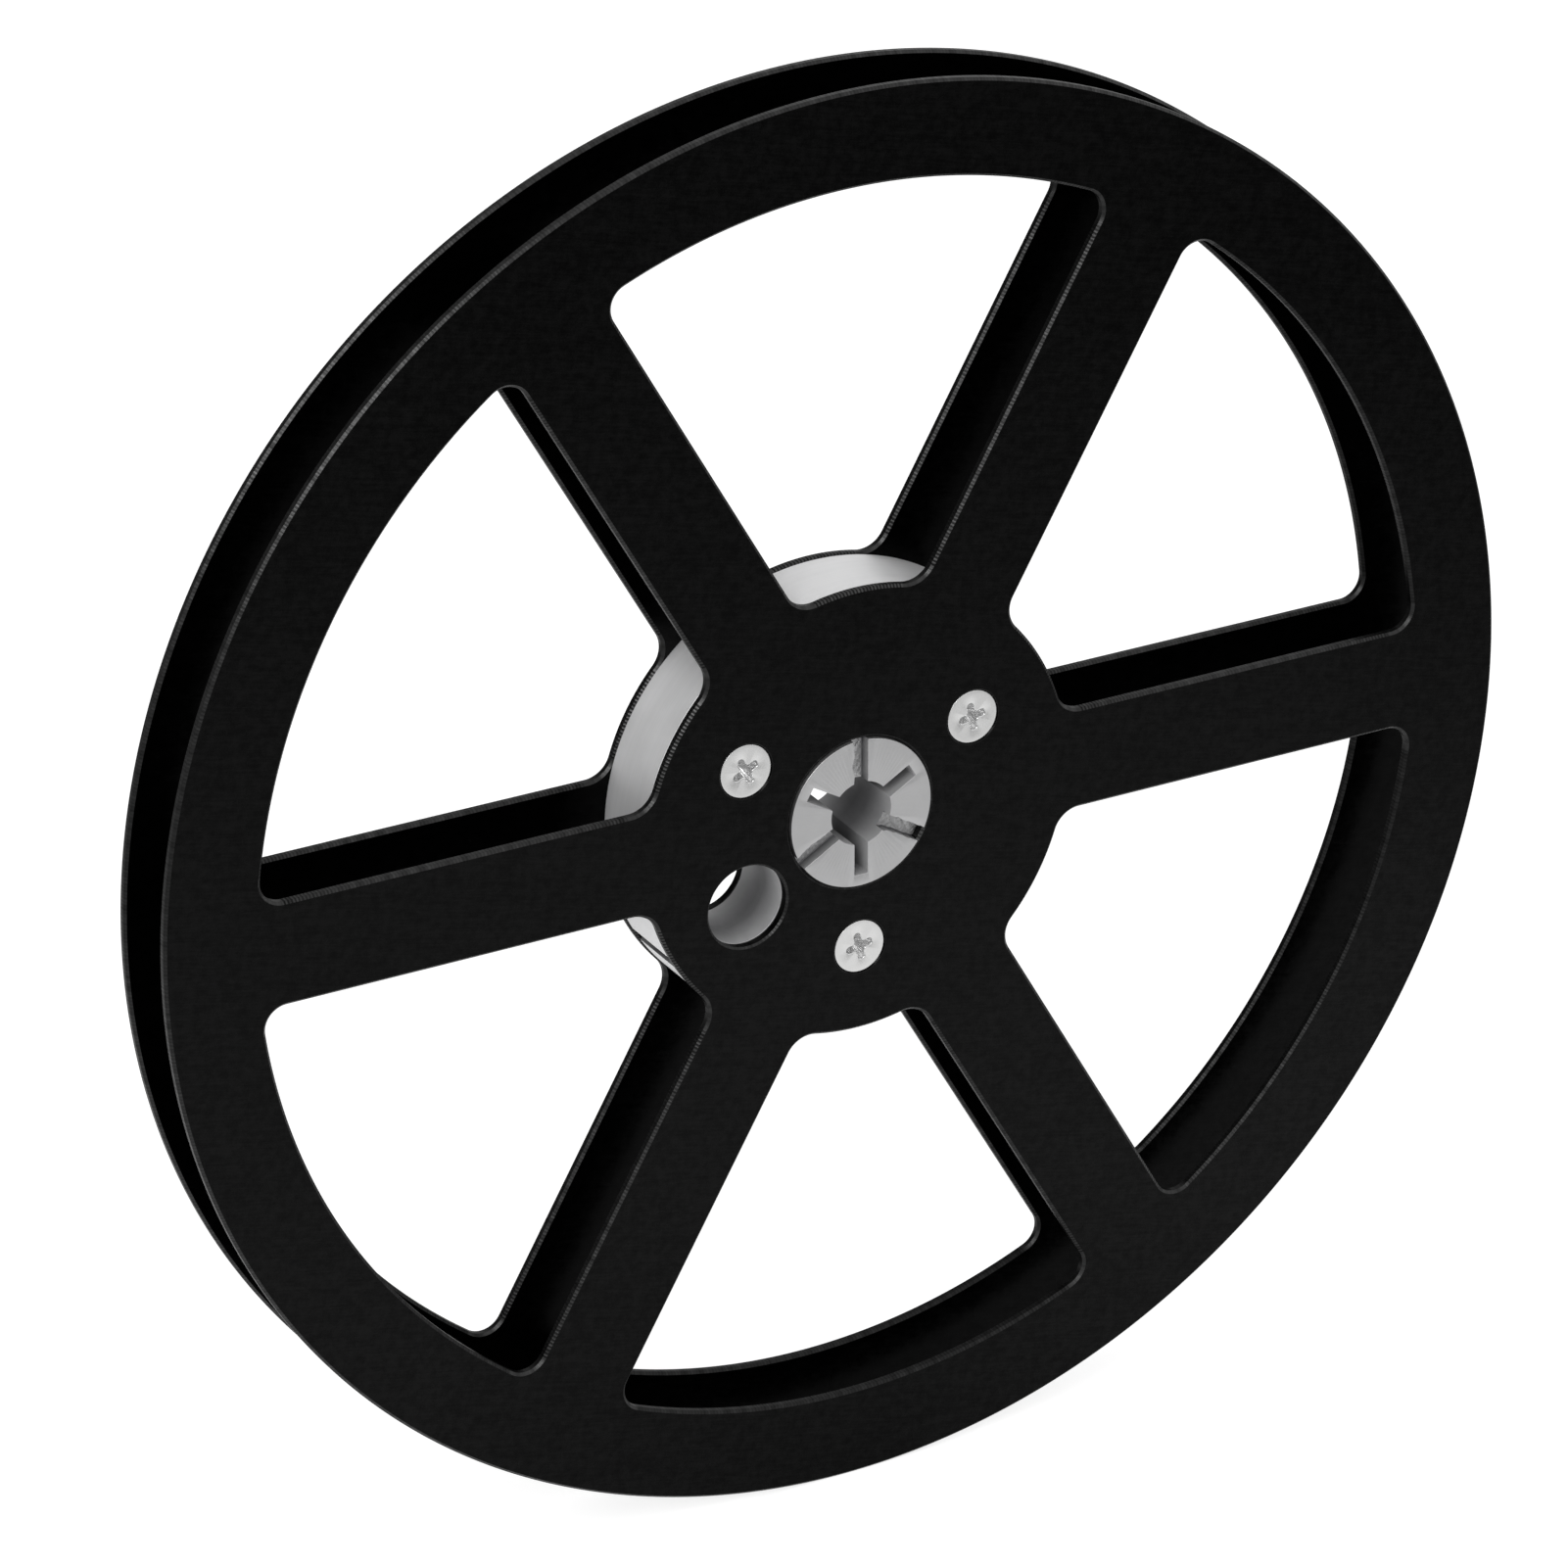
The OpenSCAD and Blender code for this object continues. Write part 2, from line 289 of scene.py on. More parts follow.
def depth_shaded_metal(name, mouth, deep, rough, metal, lo, hi):
    """A wall along the axis, its colour painted darker deeper in than near the two mouths, as shade: from lo to hi
    metres off the middle.
    """
    m, nt, b = new_material(name)
    p = object_coords(nt)
    sep = node(nt, "ShaderNodeSeparateXYZ")
    nt.links.new(p, sep.inputs[0])
    depth = math_node(nt, "ABSOLUTE", sep.outputs["Y"])
    g = noise(nt, p, 1.0, 3.0, 0.6, (2600.0, 900.0, 2600.0))
    cloud = noise(nt, p, 260.0, 3.0, 0.55)
    place = math_node(nt, "ADD", remap(nt, depth, 0.0, 1.0, lo, hi), remap(nt, cloud, -0.10, 0.10, 0.3, 0.7))
    mid = tuple(0.5 * (u + v) for u, v in zip(mouth, deep))
    # painted shade: the base colour darkens from the mouths to deeper in
    nt.links.new(ramp(nt, place, [(0.0, deep), (0.55, mid), (1.0, mouth)]), b.inputs["Base Color"])
    b.inputs["Metallic"].default_value = metal
    b.inputs["Specular IOR Level"].default_value = 0.3
    nt.links.new(remap(nt, g, rough - 0.05, rough + 0.05, 0.3, 0.7), b.inputs["Roughness"])
    nt.links.new(bump(nt, g, 0.2, 0.00002), b.inputs["Normal"])
    return m


MAT_FACE = black_face("anodised_black_face", (0.0003, 0.0006, 0.0010), 0.106, 0.26)
# a darker, duller copy of the face for the inner faces and the walls of the boss opening, threading hole and
# countersink: painted shade
MAT_INNER_SHADED = black_face("anodised_black_inner_shaded", (0.0001, 0.0002, 0.0003), 0.068, 0.20)
MAT_CHAMFER = black_edge("anodised_black_bevel", 0.36, 0.0020, 0.0050)
# the window walls take a darker, duller copy of the rim's edge finish: painted shade inside the windows
MAT_WINDOW_WALL_SHADED = black_edge("anodised_black_window_wall_shaded", 0.13, 0.0012, 0.0036)
MAT_RIM = black_edge("anodised_black_rim", 0.30, 0.0020, 0.0050)
MAT_DRUM = turned_metal("turned_aluminium", (0.955, 0.955, 0.96), 0.64, 5200.0, 0.1, 0.85)
MAT_BOSS = satin_metal("satin_aluminium", (0.66, 0.66, 0.665), 0.42)
# the bore and slots, the threading hole and the groove walls are painted darker deeper in and towards the groove floor,
# as shade
MAT_WALL = depth_shaded_metal("bored_aluminium", (0.42, 0.42, 0.425), (0.15, 0.15, 0.155), 0.55, 0.35, 0.0012, 0.0058)
MAT_HOLE = depth_shaded_metal("drilled_aluminium", (0.48, 0.48, 0.485), (0.20, 0.20, 0.205), 0.55, 0.35, 0.0005, 0.0044)
MAT_GROOVE = depth_shaded_metal("groove_wall_aluminium", (0.58, 0.58, 0.585), (0.16, 0.16, 0.165), 0.48, 0.9, 0.0048, 0.0060)
MAT_CUT = satin_metal("rough_cut_aluminium", (0.66, 0.66, 0.665), 0.48, 2200.0, 0.35, 0.8)
MAT_SCREW = satin_metal("plated_steel", (0.97, 0.97, 0.965), 0.38, 4200.0, 0.03)
# the recess takes a darker, glossier copy of the plating: painted shade in the recess
MAT_RECESS_SHADED = satin_metal("plated_steel_recess_shaded", (0.78, 0.78, 0.78), 0.18, 1400.0, 0.03)


# ------------------------------------------------------------- lofted outlines

class Skin:
    """A closed mesh made of rings of points with known normals, quads between rings, and flat caps."""

    def __init__(self):
        self.co, self.no, self.rib, self.tone = [], [], [], []
        self.faces, self.mat, self.uv = [], [], []

    def ring(self, pts, nrm, rib, tone):
        start = len(self.co)
        self.co.extend(map(tuple, pts))
        self.no.extend(map(tuple, nrm))
        self.rib.extend(rib)
        self.tone.extend(tone)
        return list(range(start, start + len(pts)))

    def face(self, idx, mat, uv=None):
        p = np.array([self.co[i] for i in idx])
        n = np.cross(p[1] - p[0], p[2] - p[0])
        if len(idx) == 4:
            n = n + np.cross(p[2] - p[0], p[3] - p[0])
        m = sum(np.array(self.no[i]) for i in idx)
        if n @ m < 0:
            idx = idx[::-1]
            uv = uv[::-1] if uv else uv
        self.faces.append(tuple(idx))
        self.mat.append(mat)
        self.uv.append(uv or [(self.co[i][0] * MM, self.co[i][1] * MM) for i in idx])

    def strip(self, a, b, mat, u, va, vb):
        """Quads between two closed rings; u is the run along the ring with its total length at the end."""
        n = len(a)
        for i in range(n):
            j = (i + 1) % n
            self.face([a[i], a[j], b[j], b[i]], mat,
                      [(u[i] * MM, va * MM), (u[i + 1] * MM, va * MM), (u[i + 1] * MM, vb * MM), (u[i] * MM, vb * MM)])

    def cap(self, outer, holes, mat):
        """Fills the flat region inside one ring and outside others."""
        loops = [outer] + holes
        index, pts, edges = [], [], []
        for lp in loops:
            k = len(index)
            index.extend(lp)
            pts.extend(Vector(self.co[i][:2]) for i in lp)
            edges.extend((k + i, k + (i + 1) % len(lp)) for i in range(len(lp)))
        v, _, tri, ov, _, _ = delaunay_2d_cdt(pts, edges, [], 0, 1e-6)
        if len(v) != len(pts):
            raise RuntimeError("a cap's outline crosses itself")
        back = [index[o[0]] for o in ov]
        c = np.array([[(v[t[0]][k] + v[t[1]][k] + v[t[2]][k]) / 3 for k in (0, 1)] for t in tri])
        keep = inside(c, np.array([self.co[i][:2] for i in outer]))
        for h in holes:
            keep &= ~inside(c, np.array([self.co[i][:2] for i in h]))
        for t, k in zip(tri, keep):
            if k:
                self.face([back[i] for i in t], mat)

    def build(self, name, materials):
        me = bpy.data.meshes.new(name)
        me.from_pydata(to_row(self.co).tolist(), [], self.faces)
        for m in materials:
            me.materials.append(m)
        me.polygons.foreach_set("material_index", self.mat)
        me.polygons.foreach_set("use_smooth", [True] * len(me.polygons))
        layer = me.uv_layers.new(name="edge_run")
        layer.data.foreach_set("uv", np.array([c for f in self.uv for c in f], np.float32).ravel())
        rib = me.attributes.new("rib", "FLOAT", "POINT")
        rib.data.foreach_set("value", np.array(self.rib, np.float32))
        tone = me.attributes.new("tone", "FLOAT", "POINT")
        tone.data.foreach_set("value", np.array(self.tone, np.float32))
        me.update()
        n = n_row(self.no)
        n /= np.linalg.norm(n, axis=1)[:, None]
        me.normals_split_custom_set_from_vertices(n.tolist())
        ob = bpy.data.objects.new(name, me)
        bpy.context.scene.collection.objects.link(ob)
        return ob


def inside(pts, loop):
    """Which points lie inside a closed polygon."""
    x, y = pts[:, 0], pts[:, 1]
    res = np.zeros(len(pts), bool)
    x0, y0 = loop[:, 0], loop[:, 1]
    x1, y1 = np.roll(x0, -1), np.roll(y0, -1)
    for a, b, c, d in zip(x0, y0, x1, y1):
        if b == d:
            continue
        hit = ((b > y) != (d > y)) & (x < (c - a) * (y - b) / (d - b) + a)
        res ^= hit
    return res


def rounded_profile(corners, radius, steps=3):
    """Sharp corners (u, z) of an edge's section, u towards free space, walked from the upper face over the edge to the lower one.
    Returns points (u, z, nu, nz), each corner rounded by radius; the first and last lie on the faces."""
    out = []
    for k in range(1, len(corners) - 1):
        p0, p, p1 = (np.array(c, float) for c in (corners[k - 1], corners[k], corners[k + 1]))
        d0, d1 = p - p0, p1 - p
        l0, l1 = np.linalg.norm(d0), np.linalg.norm(d1)
        d0, d1 = d0 / l0, d1 / l1
        n0, n1 = np.array([-d0[1], d0[0]]), np.array([-d1[1], d1[0]])
        turn = math.acos(max(-1.0, min(1.0, float(d0 @ d1))))
        r = radius[k - 1] if isinstance(radius, (list, tuple)) else radius
        cut = min(r * math.tan(turn / 2), 0.45 * l0 if k > 1 else 9.0, 0.45 * l1 if k < len(corners) - 2 else 9.0)
        r = cut / math.tan(turn / 2)
        a = p - d0 * cut
        side = 1.0 if (d0[0] * d1[1] - d0[1] * d1[0]) < 0 else -1.0   # convex corners turn clockwise
        c = a - n0 * r * side
        for i in range(steps + 1):
            f = i / steps
            n = n0 * math.sin((1 - f) * turn) + n1 * math.sin(f * turn)
            n = n / np.linalg.norm(n)
            q = c + n * r * side
            out.append((q[0], q[1], n[0], n[1]))
    return out


def circle(cx, cy, r, n, into):
    """Ring round a centre; into is +1 where free space is outside it and -1 where it is the hole's inside."""
    t = np.arange(n) * 2 * PI / n
    d = np.stack([np.cos(t), np.sin(t)], 1)
    pts = np.array([cx, cy]) + r * d
    u = np.arange(n + 1) * 2 * PI * r / n
    return pts, d * into, u, np.full(n, 0.35), np.ones(n)


def window_loop(turn):
    """Outline of one window, its unit normals towards free space, the run along it, how deep the cutter's ribs are
    and how bright it left the edge."""
    un = np.array([math.cos(math.radians(30)), math.sin(math.radians(30))])
    nn = np.array([math.sin(math.radians(30)), -math.cos(math.radians(30))])
    so = math.sqrt((WINDOW_R - FILLET_OUT) ** 2 - (SPOKE_H + FILLET_OUT) ** 2)
    si = math.sqrt((DISC_R + FILLET_IN) ** 2 - (SPOKE_H + FILLET_IN) ** 2)
    co = un * so + nn * (SPOKE_H + FILLET_OUT)
    ci = un * si + nn * (SPOKE_H + FILLET_IN)
    ao, ai = math.atan2(co[1], co[0]), math.atan2(ci[1], ci[0])
    pts, nrm, rib, tone = [], [], [], []

    def arc(c, r, a0, a1, n, sign, depth, shine=1.0):
        for i in range(n):
            tone.append(shine)
            t = a0 + (a1 - a0) * i / n
            d = np.array([math.cos(t), math.sin(t)])
            pts.append(c + d * r)
            nrm.append(d * sign)
            rib.append(depth(i / n))

    def line(a, b, n, normal, depth):
        for i in range(n):
            tone.append(1.05)
            pts.append(a + (b - a) * i / n)
            nrm.append(normal)
            rib.append(depth(i / n))

    o = np.zeros(2)
    ends = lambda f: 0.35 + 0.65 * max(math.exp(-f * 7.0), math.exp(-(1 - f) * 7.0))
    none = lambda f: 0.0
    arc(o, WINDOW_R, -ao, ao, 120, -1, lambda f: 0.45, 0.62)
    arc(co, FILLET_OUT, ao, math.radians(120), 20, -1, none)
    line(un * so + nn * SPOKE_H, un * si + nn * SPOKE_H, 40, nn, ends)
    arc(ci, FILLET_IN, math.radians(120), PI + ai, 16, -1, none)
    arc(o, DISC_R, ai, -ai, 32, 1, lambda f: 1.0, 1.7)
    m = np.array([1.0, -1.0])
    arc(ci * m, FILLET_IN, PI - ai, math.radians(240), 16, -1, none)
    line((un * si + nn * SPOKE_H) * m, (un * so + nn * SPOKE_H) * m, 40, nn * m, ends)
    arc(co * m, FILLET_OUT, math.radians(240), 2 * PI - ao, 20, -1, none)
    pts, nrm = np.array(pts), np.array(nrm)
    c, s = math.cos(math.radians(turn)), math.sin(math.radians(turn))
    rot = np.array([[c, -s], [s, c]])
    pts, nrm = pts @ rot.T, nrm @ rot.T
    step = np.linalg.norm(np.roll(pts, -1, 0) - pts, axis=1)
    u = np.concatenate([[0.0], np.cumsum(step)])
    return pts, nrm, u, np.array(rib), np.array(tone)


def flange(name, side):
    """One plate. side is +1 for the front flange and -1 for the rear one, which is the same plate turned over."""
    t, b = FLANGE_T, BEVEL
    z0 = HALF_W - t
    edge = rounded_profile([(-2, t), (-b, t), (0, t - b), (0, b), (-b, 0), (-2, 0)], 0.07)
    hb = THREAD_BEVEL
    hole = rounded_profile([(-2, t), (-hb, t), (0, t - hb), (0, hb), (-hb, 0), (-2, 0)], 0.06)
    boss = rounded_profile([(-2, t), (-b, t), (0, t - b), (0, 0.03), (-0.03, 0), (-2, 0)], [0.07, 0.07, 0.02, 0.02])
    csk = rounded_profile([(-2, t), (0, t), (1.3, 0), (-2, 0)], [0.04, 0.01])
    th = math.radians(THREAD_ANGLE)
    # each loop with the material of its wall; the window walls take the darker edge copy, and the boss opening, the
    # threading hole and the countersink cone the darker inner copy of the face, both painted shade
    loops = [(circle(0, 0, REEL_R, 960, 1), edge, 4)]
    for k in range(6):
        loops.append((window_loop(30 + 60 * k), edge, 3))
    loops.append((circle(0, 0, BOSS_OPENING_R, 180, -1), boss, 1))
    loops.append((circle(THREAD_AT * math.cos(th), THREAD_AT * math.sin(th), THREAD_R, 128, -1), hole, 1))
    for a in SCREW_ANGLES:
        a = math.radians(a)
        loops.append((circle(SCREW_AT * math.cos(a), SCREW_AT * math.sin(a), CSK_R, 96, -1), csk, -1))
    s = Skin()
    tops, bottoms = [], []
    for (pts, nrm, u, rib, tone), prof, wall in loops:
        rings, v = [], 0.0
        runs = [0.0]
        for k, (du, z, nu, nz) in enumerate(prof):
            xy = pts + nrm * du
            zz = np.full((len(pts), 1), (z0 + z) * side)
            nn = np.hstack([nrm * nu, np.full((len(pts), 1), nz * side)])
            rings.append(s.ring(np.hstack([xy, zz]), nn, rib, tone))
            if k:
                v += math.hypot(du - prof[k - 1][0], z - prof[k - 1][1])
                runs.append(v)
        for k in range(len(rings) - 1):
            tilt = abs(prof[k][3] + prof[k + 1][3]) / 2
            mat = wall if tilt < 0.4 else 2
            if wall < 0:                  # countersink: only its lip is bevel, the cone is hidden by the head
                mat = 2 if k < 3 else 1
            s.strip(rings[k], rings[k + 1], mat, u, runs[k], runs[k + 1])
        tops.append(rings[0])
        bottoms.append(rings[-1])
    s.cap(tops[0], tops[1:], 0)
    # the inner faces take the darker inner copy: painted shade between the flanges
    s.cap(bottoms[0], bottoms[1:], 1)
    return s.build(name, [MAT_FACE, MAT_INNER_SHADED, MAT_CHAMFER, MAT_WINDOW_WALL_SHADED, MAT_RIM])


# ------------------------------------------------------------------- booleans

def raw_object(name, verts, faces, mats, mat_index):
    """A plain mesh object from points in the reel frame, outward faces fixed by their enclosed volume."""
    verts = np.asarray(verts, float)
    vol = 0.0
    for f in faces:
        a = verts[f[0]]
        for i in range(1, len(f) - 1):
            vol += a @ np.cross(verts[f[i]], verts[f[i + 1]])
    if vol < 0:
        faces = [tuple(reversed(f)) for f in faces]
    me = bpy.data.meshes.new(name)
    me.from_pydata(to_row(verts).tolist(), [], [tuple(f) for f in faces])
    for m in mats:
        me.materials.append(m)
    me.polygons.foreach_set("material_index", mat_index if isinstance(mat_index, list) else [mat_index] * len(me.polygons))
    me.update()
    ob = bpy.data.objects.new(name, me)
    bpy.context.scene.collection.objects.link(ob)
    return ob


def loft(rings, cap_ends=True, closed_path=False):
    """Vertices and faces of rings of equal length joined one to the next."""
    n = len(rings[0])
    verts = [tuple(p) for r in rings for p in r]
    faces = []
    m = len(rings)
    for k in range(m if closed_path else m - 1):
        a, b = k * n, ((k + 1) % m) * n
        for i in range(n):
            j = (i + 1) % n
            faces.append((a + i, a + j, b + j, b + i))
    if cap_ends and not closed_path:
        faces.append(tuple(range(n - 1, -1, -1)))
        faces.append(tuple(range((m - 1) * n, m * n)))
    return verts, faces


def lathe(profile, segments, mats=None):
    """A ring turned round z from a closed section of (r, z) points. mats gives a material index per section segment."""
    rings = []
    for k in range(segments):
        t = 2 * PI * k / segments
        rings.append([(r * math.cos(t), r * math.sin(t), z) for r, z in profile])
    verts, faces = loft(rings, closed_path=True)
    n = len(profile)
    index = [mats[f % n] if mats else 0 for f in range(len(faces))]
    return verts, faces, index


def cut(target, cutters, name):
    """Subtracts the cutters and returns the result as a new object; the inputs are removed."""
    for i, c in enumerate(cutters):
        mod = target.modifiers.new(f"cut_{i}", "BOOLEAN")
        mod.operation = "DIFFERENCE"
        mod.solver = "EXACT"
        mod.object = c
    bpy.context.view_layer.update()
    dg = bpy.context.evaluated_depsgraph_get()
    me = bpy.data.meshes.new_from_object(target.evaluated_get(dg))
    me.name = name
    bm = bmesh.new()
    bm.from_mesh(me)
    bmesh.ops.remove_doubles(bm, verts=bm.verts, dist=0.000001)
    bmesh.ops.dissolve_degenerate(bm, dist=0.000001, edges=bm.edges)
    # a sliver gives its longest edge up to its neighbour, and the two are split the other way
    slim = [f for f in bm.faces if len(f.verts) == 3 and 2 * f.calc_area() < 0.000006 * max(e.calc_length() for e in f.edges)]
    long_edges = dict.fromkeys(max(f.edges, key=lambda e: e.calc_length()) for f in slim)
    long_edges = [e for e in long_edges if len(e.link_faces) == 2 and all(len(f.verts) == 3 for f in e.link_faces)]
    bmesh.ops.beautify_fill(bm, faces=list(dict.fromkeys(f for e in long_edges for f in e.link_faces)), edges=long_edges, method="ANGLE")
    bm.to_mesh(me)
    bm.free()
    for c in cutters + [target]:
        old = c.data
        bpy.data.objects.remove(c)
        bpy.data.meshes.remove(old)
    ob = bpy.data.objects.new(name, me)
    bpy.context.scene.collection.objects.link(ob)
    return ob


def even_triangles(ob):
    """Splits the faces with many corners into well shaped triangles and keeps their normals."""
    t = ob.modifiers.new("even_triangles", "TRIANGULATE")
    t.ngon_method = "BEAUTY"
    t.min_vertices = 5
    t.keep_custom_normals = True


def arc_points(cx, cy, r, a0, a1, n):
    return [(cx + r * math.cos(math.radians(a0 + (a1 - a0) * i / n)),
             cy + r * math.sin(math.radians(a0 + (a1 - a0) * i / n))) for i in range(n + 1)]


def fillet_polygon(points, radii, steps=5):
    """Rounds the corners of a closed polygon that have a radius."""
    out = []
    n = len(points)
    for k in range(n):
        p = np.array(points[k], float)
        if not radii[k]:
            out.append(tuple(p))
            continue
        p0, p1 = np.array(points[k - 1], float), np.array(points[(k + 1) % n], float)
        d0, d1 = (p - p0) / np.linalg.norm(p - p0), (p1 - p) / np.linalg.norm(p1 - p)
        turn = math.acos(max(-1.0, min(1.0, float(d0 @ d1))))
        c_len = min(radii[k] * math.tan(turn / 2), 0.9 * np.linalg.norm(p - p0), 0.9 * np.linalg.norm(p1 - p))
        r = c_len / math.tan(turn / 2)
        s = 1.0 if (d0[0] * d1[1] - d0[1] * d1[0]) > 0 else -1.0
        n0 = np.array([-d0[1], d0[0]]) * s
        n1 = np.array([-d1[1], d1[0]]) * s
        c = p - d0 * c_len + n0 * r
        for i in range(steps + 1):
            f = i / steps
            n_ = n0 * math.sin((1 - f) * turn) + n1 * math.sin(f * turn)
            n_ = n_ / np.linalg.norm(n_)
            out.append(tuple(c - n_ * r))
    return out


def outward(loop):
    """Unit normals of a counter-clockwise polygon, away from its inside."""
    p = np.array(loop)
    e = np.roll(p, -1, 0) - p
    e /= np.linalg.norm(e, axis=1)[:, None]
    n = np.stack([e[:, 1], -e[:, 0]], 1)
    m = n + np.roll(n, 1, 0)
    m /= np.linalg.norm(m, axis=1)[:, None]
    scale = 1.0 / np.clip(np.sum(m * n, 1), 0.5, 1.0)
    return m * scale[:, None]


def mouth_profile(top, r, steps=5, reach=78.0, over=0.5):
    """(growth, z) of a cutter whose opening at z = top leaves an edge rounded by r."""
    out = []
    for i in range(steps + 1):
        a = math.radians(reach * i / steps)
        out.append((r - r * math.cos(a), top - r + r * math.sin(a)))
    g, z = out[-1]
    t = math.radians(reach)
    out.append((g + 0.25 * r * math.sin(t) + 0.02, z + 0.25 * r * math.cos(t) + 0.012))
    out.append((out[-1][0], top + over))
    return out


# ------------------------------------------------------------------------ hub

def wobble(seed, amount, parts=4, base=0.9):
    """A smooth irregular line, the same at each run."""
    rng = np.random.RandomState(seed)
    ph, fr = rng.rand(parts) * 2 * PI, base * (1.0 + np.arange(parts) * 0.83 + rng.rand(parts) * 0.4)
    am = amount / (1.0 + np.arange(parts)) ** 0.8
    return lambda x: float(np.sum(am * np.sin(fr * x + ph)))


def groove_cutter(angle, side, seed, mats, bulges, waves, worn):
    """A relief groove milled by hand across the boss: one wall wanders, the floor is rough.
    bulges lists (place, height, width) along the wall at -y and the one at +y; waves and worn give
    how far each wanders and how round its shoulder is."""
    left, right = wobble(seed, waves[0], 5, 2.3), wobble(seed + 1, waves[1], 5, 2.3)
    floor_a, floor_b = wobble(seed + 2, 0.03, 5, 3.1), wobble(seed + 3, 0.03, 5, 4.3)
    z_floor = BOSS_TOP - GROOVE_DEPTH
    rings = []
    xs = np.arange(2.6, 10.21, 0.1)
    for x in xs:
        w, rho = [], []
        for line, blist, r in ((left, bulges[0], worn[0]), (right, bulges[1], worn[1])):
            v = GROOVE_W / 2 + line(x)
            for at, h, wd in blist:
                v += h * math.exp(-((x - at) / wd) ** 2)
            w.append(v)
            rho.append(r * (1.0 + 0.25 * math.sin(2.3 * x + seed)))
        wl, wr = w
        rb = 0.14
        sec = []
        m = 8
        for i in range(m + 1):
            y = -(wl - rb) + (wl + wr - 2 * rb) * i / m
            zz = z_floor + floor_a(x * 1.3 + y * 2.1) + floor_b(x - y * 3.3) * 0.6
            sec.append((y, zz if 0 < i < m else z_floor))
        for i in range(1, 4):
            a = math.radians(-90 + 90 * i / 4)
            sec.append((wr - rb + rb * math.cos(a), z_floor + rb + rb * math.sin(a)))
        sec.append((wr, z_floor + rb))
        for g, z in mouth_profile(BOSS_TOP, rho[1], 6):
            sec.append((wr + g, z))
        for g, z in reversed(mouth_profile(BOSS_TOP, rho[0], 6)):
            sec.append((-wl - g, z))
        sec.append((-wl, z_floor + rb))
        for i in range(3, 0, -1):
            a = math.radians(-90 + 90 * i / 4)
            sec.append((-wl + rb - rb * math.cos(a), z_floor + rb + rb * math.sin(a)))
        c, s = math.cos(math.radians(angle)), math.sin(math.radians(angle))
        rings.append([(x * c - y * s, x * s + y * c, z * side) for y, z in sec])
    verts, faces = loft(rings)
    n = len(rings[0])
    index = [3 if f % n < m else 5 for f in range(len(faces) - 2)] + [3, 3]
    return raw_object("groove", verts, faces, mats, index)


def opening_cutter(mats, mouth=0.06):
    """The spindle bore with its three drive slots, its mouths rounded."""
    pts, rad = [], []
    half = math.degrees(math.asin(SLOT_W / 2 / BORE_R))
    for a in SCREW_ANGLES:
        c, s = math.cos(math.radians(a)), math.sin(math.radians(a))
        x0 = math.sqrt(BORE_R ** 2 - (SLOT_W / 2) ** 2)
        for x, y, r in ((x0, -SLOT_W / 2, 0.13), (SLOT_END, -SLOT_W / 2, 0.12),
                        (SLOT_END, SLOT_W / 2, 0.12), (x0, SLOT_W / 2, 0.13)):
            pts.append((x * c - y * s, x * s + y * c))
            rad.append(r)
        for p in arc_points(0, 0, BORE_R, a + half, a + 120 - half, 26)[1:-1]:
            pts.append(p)
            rad.append(0)
    loop = fillet_polygon(pts, rad, 5)
    n = outward(loop)
    prof = mouth_profile(BOSS_TOP, mouth, 5)
    levels = [(g, -z) for g, z in reversed(prof)] + prof
    p = np.array(loop)
    rings = [[(q[0], q[1], z) for q in p + n * g] for g, z in levels]
    verts, faces = loft(rings)
    return raw_object("opening", verts, faces, mats, 2)


def cylinder_cutter(name, cx, cy, sections, n, mats, index):
    """A turned cutter at a place: sections are (radius, z)."""
    rings = []
    for r, z in sections:
        rings.append([(cx + r * math.cos(2 * PI * i / n), cy + r * math.sin(2 * PI * i / n), z) for i in range(n)])
    verts, faces = loft(rings)
    return raw_object(name, verts, faces, mats, index)


